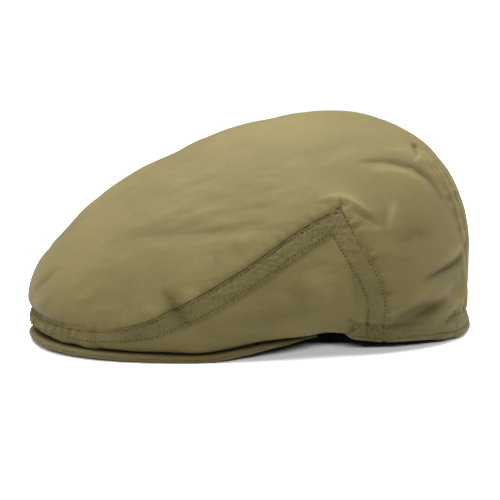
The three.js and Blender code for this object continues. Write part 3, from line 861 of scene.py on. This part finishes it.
def all_stitches(material):
    """Every row of stitches of the outer cloth."""
    upper = beside(front_curve, FRONT_ROW_NEAR)
    lower = beside(front_curve, front_far(front_curve[:, 0]))
    upper[0, 0] = 0
    lower[0, 0] = 0
    lower = share_of(lower, 0, 0.93)
    for place, row in (("upper", upper), ("lower", lower)):
        stitch_row(f"front_stitches_{place}", row, 1, True, f"front_seam_thread_{place}", material, True)
    back_near = share_of(beside(back_curve, BACK_ROW_NEAR), 0.03, 0.93)
    back_far = share_of(beside(back_curve, BACK_ROW_FAR), 0.1, 0.93)
    rows = [
        ("back_stitches_rear", "back_seam_thread_rear", True, back_near),
        ("back_stitches_front", "back_seam_thread_front", True, back_far),
        ("dart_stitches_front", "dart_thread_front", False, curve_through(DART_FRONT, 130)),
        ("dart_stitches_rear", "dart_thread_rear", False, curve_through(DART_REAR, 130)),
    ]
    for side, word in ((1, "left"), (-1, "right")):
        for name, node_name, is_side, row in rows:
            stitch_row(f"{name}_{word}", row, side, is_side, f"{node_name}_{word}", material)
    hem = np.stack([np.linspace(80, 280, 400), np.full(400, HEM_ROW)], -1)
    stitch_row("hem_stitches", hem, 1, False, "hem_thread", material)


# -------- brim
def brim_rim(phi):
    return oval(phi, BRIM_FRONT + POLE_Y, 100, BRIM_HALF_WIDTH, BRIM_ROUNDNESS)


def brim_point(phi, inset, share):
    """A point of the brim: inset from its rim, and a height given as a share of the local thickness."""
    r = brim_rim(phi) - inset
    x, y = plan(phi, r)
    return at(phi, r, brim_under(x, y) + share * brim_gauge(phi))


def brim_depth(phi):
    """How far the brim reaches in: past the head opening's edge, narrowing to a wedge at its tips."""
    full = brim_rim(phi) - head_ring(phi)[0] + 1.7
    return full * (1 - 0.72 * ease((turn_of(phi) - 50) / 17))


def brim_cloth(name, node, is_top, material):
    """One cover of the brim, rolled round the rim to the seam; the lower one also closes the root."""
    phi = np.radians(np.linspace(-BRIM_END, BRIM_END, 300))[:, None]
    depth = brim_depth(phi)
    flat = np.linspace(0, 1, 22)[None] + 0 * depth
    turn = np.linspace(0, np.pi / 2, 12)[None, 1:] + 0 * depth
    seam = 0.5 - 0.1 / brim_gauge(phi)
    layer = CLOTH / brim_gauge(phi)
    in_flat = flat[:, ::-3]
    in_turn = turn[:, ::-2]
    insets = [
        depth + (LIP_RADIUS - depth) * flat,
        LIP_RADIUS * (1 - np.sin(turn)),
        LIP_CURL + 0 * depth,
        LIP_RADIUS - LIP_INNER_RADIUS * np.sin(in_turn),
        depth + (LIP_RADIUS - depth) * in_flat,
    ]
    shares = [
        0 * flat,
        seam * (1 - np.cos(turn)),
        seam + 0.02,
        layer + (seam - layer) * (1 - np.cos(in_turn)),
        layer + 0 * in_flat,
    ]
    if not is_top:
        flange_top = np.maximum(1 - layer, layer) + 0.02 - 0.04 * (layer < 0.48)
        insets[-1][:, -1:] = depth - ROOT_FLANGE
        insets += [depth - ROOT_FLANGE, depth]
        shares += [flange_top, flange_top]
    inset = np.concatenate(insets, 1)
    share = np.concatenate(shares, 1)
    inset = inset + TIP_RETREAT * ease((turn_of(phi) - 57) / 10) * fade((inset - 6) / 10)
    loops = brim_point(phi, inset, 1 - share if is_top else share)
    way = np.degrees(phi) * 3
    seed = 71 if is_top else 72
    wave = 0.12 * ripple(way, 17, seed) + 0.06 * ripple(way, 6, seed + 2)
    edge_share = bell((inset - 0.6) / 2.5)
    loops[..., 2] += wave * edge_share
    points = loops.reshape(-1, 3)
    count, size = loops.shape[:2]
    faces = swept_faces(count, size, False)
    faces += [list(range(size))[::-1], list(range((count - 1) * size, count * size))]
    # painted shade over the brim, less of it near the rim's lip
    painted_light_and_wear = (-0.62 + 0.4 * edge_share).ravel()
    uvs = points[:, :2] / 10
    new_piece(name, points, facing_out(points, faces), material, [node], uvs, painted_light_and_wear)


# -------- inside
def ring_angles(count):
    return np.radians(np.arange(count) * 360 / count - 180)


def lining_relief(phi, s):
    """The lining hangs a little loose: folds that only go inward."""
    points = lining_form(phi, s)
    slack = 0.9 * undulation(points, 48, 81) + 0.5 * undulation(points, 20, 82)
    return -np.abs(slack) * ease(s / 0.1) * ease((1 - s) / 0.15)


def lining_sheet(phi, s):
    """Outer and inner skins of the lining over a grid, in one loop per column."""
    places = np.broadcast_to(phi[:, None], s.shape).ravel(), s.ravel()
    normals = normals_of(lining_form, *places).reshape(*s.shape, 3)
    plain = lining_form(*places).reshape(*s.shape, 3)
    height = lining_relief(*places).reshape(*s.shape, 1)
    outer = plain + normals * height
    inner = plain + normals * (height - LINING_GAUGE)
    return np.concatenate([outer, inner[:, ::-1]], 1)


def lining(material):
    """Crown and side pieces of the lining, meeting in a seam."""
    s = np.broadcast_to(np.linspace(0, LINING_SPLIT, 41)[1:], (200, 40))
    loops = lining_sheet(ring_angles(200), s)
    points, faces = capped(loops, lining_form(np.zeros(1), np.zeros(1)))
    new_piece("lining_cloth_crown", points, faces, material, ["lining_crown"])
    for side, word in ((1, "left"), (-1, "right")):
        half = side * np.radians(np.linspace(0.1, 179.9, 120))
        down = np.broadcast_to(np.linspace(LINING_SPLIT + 0.002, 0.995, 44), (120, 44))
        points, faces = swept(lining_sheet(half, down))
        new_piece(f"lining_cloth_{word}", points, faces, material, [f"lining_side_{word}"])


def band_lean(phi, u):
    """How far the head band leans and bows inward, u being the way up it."""
    lean = np.abs(ripple(turn_of(phi) * RING_PITCH, 38, 91))[:, None] * ease(u)[None]
    return lean, 0.5 * np.sin(np.pi * u)[None]


def upright_ring(name, node, inset, gauge, height, material, slack):
    """A strip of cloth standing round the head opening; slack is its share of the band's lean."""
    phi = ring_angles(280)
    u = np.linspace(0, 1, 14)
    r, z = head_ring(phi)
    lean, bow = band_lean(phi, u)
    lean = slack * lean
    heights = RING_LIFT + height * u
    outer = at(phi[:, None], (r - inset)[:, None] - 0.15 - lean, z[:, None] + heights)
    inner = at(phi[:, None], (r - inset - gauge)[:, None] - lean - bow, z[:, None] + heights)
    points, faces = swept(np.concatenate([outer, inner[:, ::-1]], 1), ring=True)
    heights = np.concatenate([heights, heights[::-1]])
    way = np.degrees(phi) * RING_PITCH
    uvs = np.stack(np.broadcast_arrays(way[:, None] / 10, heights[None] / 10), -1).reshape(-1, 2)
    new_piece(name, points, faces, material, [node], uvs)


def band_stitches(material):
    """The row that holds the head band to the hem."""
    phi = ring_angles(260)
    r, z = head_ring(phi)
    face = BAND_INSET + BAND_GAUGE + 0.42
    centres = at(phi, r - face, z + 2.6)
    forwards = unit(np.roll(centres, -1, 0) - np.roll(centres, 1, 0))
    inward = unit(np.stack([-np.sin(phi), np.cos(phi), 0 * phi], -1))
    points, faces = stitch_mesh(centres, inward, forwards)
    new_piece("band_stitches", points, faces, material, ["head_band_thread"])


def label_cloth(material):
    """A small blank woven label on the inside of the head band."""
    phi = np.radians(np.linspace(*LABEL_TURN, 40))
    u = np.linspace(0, 1, 16)
    r, z = head_ring(phi)
    heights = mix(*LABEL_HEIGHTS, u)
    lean, bow = band_lean(phi, heights / BAND_HEIGHT)
    face = (r - BAND_INSET - BAND_GAUGE)[:, None] - lean - bow
    puff = 0.25 * np.sin(np.pi * u)[None] * np.sin(np.linspace(0, np.pi, 40))[:, None]
    outer = at(phi[:, None], face - 0.15, z[:, None] + heights)
    inner = at(phi[:, None], face - 0.6 - puff, z[:, None] + heights)
    points, faces = swept(np.concatenate([outer, inner[:, ::-1]], 1))
    uvs = np.stack([points[:, 0] / 10, points[:, 2] / 10], -1)
    new_piece("label_cloth", points, faces, material, ["size_label"], uvs)


# -------- materials
def new_material(name):
    material = bpy.data.materials.new(name)
    material.use_nodes = True
    tree = material.node_tree
    shader = tree.nodes["Principled BSDF"]
    return material, tree, shader


def set_inputs(made, inputs):
    for key, value in inputs.items():
        made.inputs[key].default_value = value


def node(tree, kind, inputs=None, **settings):
    made = tree.nodes.new(kind)
    for key, value in settings.items():
        setattr(made, key, value)
    set_inputs(made, inputs or {})
    return made


def maths(tree, operation, *values):
    """A maths node whose inputs are sockets or numbers."""
    made = node(tree, "ShaderNodeMath", operation=operation)
    for i, value in enumerate(values):
        if hasattr(value, "is_linked"):
            tree.links.new(value, made.inputs[i])
        else:
            made.inputs[i].default_value = value
    return made.outputs[0]


def noise(tree, vector, scale, detail=3.0, roughness=0.55):
    made = node(tree, "ShaderNodeTexNoise", {"Scale": scale, "Detail": detail, "Roughness": roughness})
    tree.links.new(vector, made.inputs["Vector"])
    return made.outputs["Fac"]


def weave(tree, uv, threads):
    """Over-and-under threads, as a height from 0 to 1."""
    waves = []
    for direction in ("X", "Y"):
        made = node(tree, "ShaderNodeTexWave", {"Scale": threads / 2}, bands_direction=direction)
        tree.links.new(uv, made.inputs["Vector"])
        waves.append(made.outputs["Fac"])
    return maths(tree, "MULTIPLY", *waves)


def colour_mix(tree, factor, dark, light):
    made = node(tree, "ShaderNodeMix", data_type="RGBA")
    tree.links.new(factor, made.inputs["Factor"])
    for key, value in (("A", dark), ("B", light)):
        socket = [i for i in made.inputs if i.name == key and i.type == "RGBA"][0]
        if hasattr(value, "is_linked"):
            tree.links.new(value, socket)
        else:
            socket.default_value = (*value, 1)
    return [o for o in made.outputs if o.type == "RGBA"][0]


def bump(tree, height, distance, strength, below=None):
    made = node(tree, "ShaderNodeBump", {"Distance": distance, "Strength": strength})
    tree.links.new(height, made.inputs["Height"])
    if below is not None:
        tree.links.new(below, made.inputs["Normal"])
    return made.outputs["Normal"]


def cloth_material(name, dark, light, threads, rough, sheen, specular, weave_depth, crumple):
    """Woven cloth: threads, uneven dye, painted light and shade with some rubbing (lighter ridges, darker
    grooves), and a faint fine crumple.
    """
    material, tree, shader = new_material(name)
    uv = node(tree, "ShaderNodeUVMap", uv_map="cloth").outputs["UV"]
    place = node(tree, "ShaderNodeTexCoord").outputs["Object"]
    # painted light and shade, with some rubbing: lighter ridges, darker grooves, bands and hem
    light_and_wear_layer = node(tree, "ShaderNodeAttribute", attribute_name="painted_light_and_wear").outputs["Fac"]
    threads_height = weave(tree, uv, threads)
    dye = noise(tree, place, 22, 4)
    fleck = noise(tree, place, 700, 2)
    crumpled = noise(tree, place, 150, 5, 0.6)
    tone = maths(tree, "MULTIPLY_ADD", dye, 0.22, 0.125)
    for layer, share in ((fleck, 0.28), (light_and_wear_layer, 0.42), (threads_height, 0.25)):
        tone = maths(tree, "MULTIPLY_ADD", layer, share, tone)
    tree.links.new(colour_mix(tree, tone, dark, light), shader.inputs["Base Color"])
    tree.links.new(maths(tree, "MULTIPLY_ADD", fleck, 0.12, rough), shader.inputs["Roughness"])
    soft = bump(tree, crumpled, crumple, 0.6)
    fine = bump(tree, threads_height, weave_depth, 0.7, soft)
    tree.links.new(fine, shader.inputs["Normal"])
    set_inputs(shader, {"Sheen Weight": sheen, "Sheen Roughness": 0.45, "Specular IOR Level": specular})
    return material


def board_material():
    """Pressed fibre board: pale, mottled, faintly rough."""
    material, tree, shader = new_material("brim_board_fibre")
    place = node(tree, "ShaderNodeTexCoord").outputs["Object"]
    fibre = noise(tree, place, 260, 6, 0.65)
    tree.links.new(colour_mix(tree, fibre, (0.5, 0.46, 0.38), (0.72, 0.69, 0.6)), shader.inputs["Base Color"])
    tree.links.new(bump(tree, fibre, 0.0002, 0.5), shader.inputs["Normal"])
    set_inputs(shader, {"Roughness": 0.72})
    return material


# -------- studio
CAMERA_AZIMUTH = 71.5
CAMERA_ELEVATION = 10.6
CAMERA_DISTANCE = 1.49
CAMERA_TARGET = Vector((0, 0, 0.05))
CAMERA_LENS = 176.8
CAMERA_SHIFT = (0.0046, -0.0012)
FLOOR_RADIUS = 1000
FLOOR_RINGS = 5
FLOOR_SIDES = 64


def add_camera():
    a = math.radians(CAMERA_AZIMUTH)
    e = math.radians(CAMERA_ELEVATION)
    back = Vector((math.sin(a) * math.cos(e), -math.cos(a) * math.cos(e), math.sin(e)))
    data = bpy.data.cameras.new("camera")
    data.lens = CAMERA_LENS
    data.sensor_width = 36
    data.clip_end = 50
    data.shift_x, data.shift_y = CAMERA_SHIFT
    camera = new_object("camera", data)
    camera.location = CAMERA_TARGET + back * CAMERA_DISTANCE
    camera.rotation_euler = back.to_track_quat("Z", "Y").to_euler()
    bpy.context.scene.camera = camera


def add_softbox(name, place, aim, size, watts):
    data = bpy.data.lights.new(name, "AREA")
    data.shape = "RECTANGLE"
    data.size = size[0]
    data.size_y = size[1]
    data.energy = watts
    light = new_object(name, data)
    light.location = place
    light.rotation_euler = (Vector(place) - Vector(aim)).to_track_quat("Z", "Y").to_euler()
    return light


def add_floor():
    """A large round floor, pale and faintly uneven."""
    radii = np.linspace(0, FLOOR_RADIUS, FLOOR_RINGS + 1)[1:]
    turns = ring_angles(FLOOR_SIDES)
    points = [[0, 0, 0]] + [[r * math.cos(t), r * math.sin(t), 0] for r in radii for t in turns]
    faces = [[0, 1 + i, 1 + (i + 1) % FLOOR_SIDES] for i in range(FLOOR_SIDES)]
    faces += [[1 + i for i in f] for f in swept_faces(FLOOR_RINGS, FLOOR_SIDES, False)]
    mesh = bpy.data.meshes.new("floor")
    mesh.from_pydata((np.array(points) * MM).tolist(), [], faces)
    floor = new_object("floor", mesh)
    material, tree, shader = new_material("floor_paint")
    place = node(tree, "ShaderNodeTexCoord").outputs["Object"]
    mottle = noise(tree, place, 6, 2)
    seen = colour_mix(tree, mottle, (0.97, 0.97, 0.97), (1.0, 1.0, 1.0))
    bounced = colour_mix(tree, mottle, (0.6, 0.6, 0.6), (0.62, 0.62, 0.62))
    direct = node(tree, "ShaderNodeLightPath").outputs["Is Camera Ray"]
    tree.links.new(colour_mix(tree, direct, bounced, seen), shader.inputs["Base Color"])
    set_inputs(shader, {"Roughness": 0.9, "Specular IOR Level": 0.1})
    mesh.materials.append(material)
    return floor


def add_world():
    """A white room for the camera and a dimmer one for the light that falls on the cap."""
    world = bpy.data.worlds.new("room")
    bpy.context.scene.world = world
    world.use_nodes = True
    tree = world.node_tree
    tree.nodes.clear()
    seen = node(tree, "ShaderNodeBackground", {"Color": (1, 1, 1, 1), "Strength": 1.05})
    lit = node(tree, "ShaderNodeBackground", {"Color": (1, 1, 1, 1), "Strength": 0.08})
    path = node(tree, "ShaderNodeLightPath")
    both = node(tree, "ShaderNodeMixShader")
    out = node(tree, "ShaderNodeOutputWorld")
    tree.links.new(path.outputs["Is Camera Ray"], both.inputs["Fac"])
    tree.links.new(lit.outputs[0], both.inputs[1])
    tree.links.new(seen.outputs[0], both.inputs[2])
    tree.links.new(both.outputs[0], out.inputs["Surface"])


def studio():
    add_camera()
    floor = add_floor()
    add_world()
    add_softbox("top_softbox", (-0.1, -0.1, 1.8), (0, 0, 0.05), (2.3, 2.3), 112)
    add_softbox("front_softbox", (0.4, -1.9, 1.0), (0, 0, 0.06), (1.0, 1.0), 7)
    add_softbox("back_softbox", (0.15, 1.8, 0.9), (0, 0, 0.06), (1.0, 1.0), 12)
    low = add_softbox("floor_softbox", (2.3, -0.6, 1.0), (0, 0, 0), (1.6, 0.25), 75)
    linked = bpy.data.collections.new("lit_by_floor_softbox")
    linked.objects.link(floor)
    low.light_linking.receiver_collection = linked
    scene = bpy.context.scene
    scene.view_settings.view_transform = "Standard"
    scene.view_settings.look = "None"


# -------- build
studio()
cotton = cloth_material(
    "olive_cotton", (0.078, 0.0635, 0.019), (0.225, 0.183, 0.068), threads=22,
    rough=0.62, sheen=0.06, specular=0.2, weave_depth=0.00005, crumple=0.0005,
)
thread = cloth_material(
    "olive_thread", (0.04, 0.033, 0.012), (0.085, 0.07, 0.027), threads=60,
    rough=0.7, sheen=0.02, specular=0.08, weave_depth=0.00003, crumple=0.00005,
)
satin = cloth_material(
    "dark_satin", (0.008, 0.009, 0.012), (0.018, 0.02, 0.027), threads=40,
    rough=0.38, sheen=0.05, specular=0.5, weave_depth=0.00002, crumple=0.0002,
)
twill = cloth_material(
    "dark_twill", (0.012, 0.013, 0.016), (0.028, 0.03, 0.036), threads=14,
    rough=0.7, sheen=0.2, specular=0.35, weave_depth=0.00008, crumple=0.0001,
)
tape = cloth_material(
    "plain_tape", (0.42, 0.39, 0.33), (0.62, 0.58, 0.5), threads=18,
    rough=0.7, sheen=0.1, specular=0.35, weave_depth=0.00006, crumple=0.0001,
)

crown_cloth(cotton)
side_cloth(1, "left", cotton)
side_cloth(-1, "right", cotton)
brim_cloth("brim_cloth_top", "brim_top_cover", True, cotton)
brim_cloth("brim_cloth_under", "brim_under_cover", False, cotton)
all_stitches(thread)
lining(satin)
upright_ring("head_band_cloth", "head_band", BAND_INSET, BAND_GAUGE, BAND_HEIGHT, twill, 1)
upright_ring("stay_tape_cloth", "stay_tape", TAPE_INSET, TAPE_GAUGE, TAPE_HEIGHT, tape, 0)
band_stitches(thread)
label_cloth(tape)
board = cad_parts["brim_board"]
board.data.materials.clear()
board.data.materials.append(board_material())
